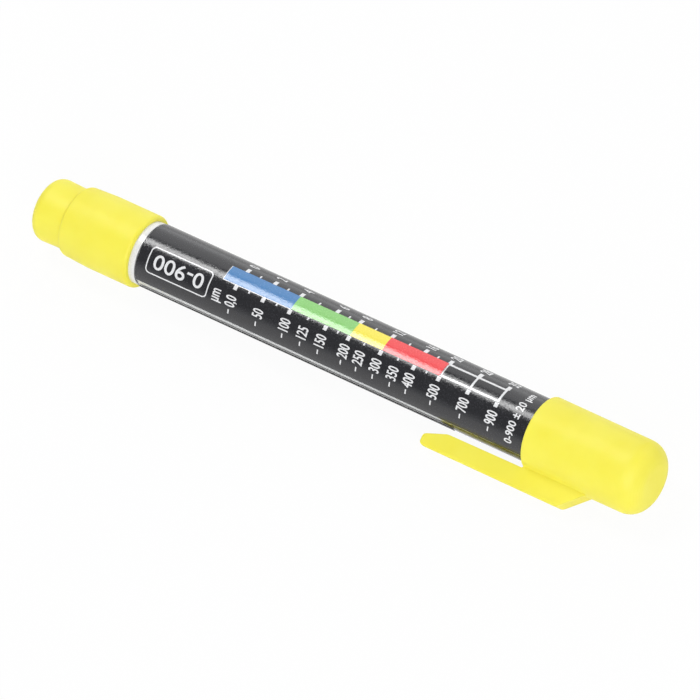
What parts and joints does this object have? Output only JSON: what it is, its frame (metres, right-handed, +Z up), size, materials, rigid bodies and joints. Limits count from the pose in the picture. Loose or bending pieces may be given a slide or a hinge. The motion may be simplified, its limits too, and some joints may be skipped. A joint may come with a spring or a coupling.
{
  "type": "coating thickness gauge",
  "caption": "Pen-form magnetic coating thickness gauge: a clear barrel with a printed scale round half of it, a spring-loaded pull handle, a magnet tip and a cap with pocket clip.",
  "frame": {"origin": "centre of the end cap's flat end face, on the pen's axis", "axes": "+X along the pen's axis from the end cap to the clip cap, +Z up as the pen lies on its two caps and the corner of its clip, the clip pointing towards -Y and down"},
  "size_m": [0.1421, 0.0183, 0.015],
  "materials": {
    "clear_acrylic": "clear, polished",
    "yellow_plastic": "moulded, satin",
    "black_plastic": "moulded",
    "spring_steel": "drawn wire",
    "white_plastic": "extruded, smooth",
    "label_film": "printed film",
    "turned_aluminium": "turned",
    "plated_magnet": "nickel plated"
  },
  "bodies": {
    "barrel": {"barrel": "clear_acrylic", "mouth_collar": "white_plastic", "scale_label": "label_film", "magnet_holder": "turned_aluminium", "magnet": "plated_magnet", "spring": "spring_steel"},
    "handle": {"end_cap": "yellow_plastic", "slide_tube": "white_plastic", "stop_ring": "black_plastic"},
    "cap": {"clip_cap": "yellow_plastic"}
  },
  "joints": [
    {"name": "handle_slide", "type": "slide", "parent": "barrel", "child": "handle", "axis": [-1, 0, 0], "range_m": [0, 0.0816], "stiffness_N_per_m": 45, "springref_m": -0.01, "deforming": ["spring"]},
    {"name": "cap_pull", "type": "slide", "parent": "barrel", "child": "cap", "axis": [1, 0, 0], "range_m": [0, 0.03]}
  ]
}
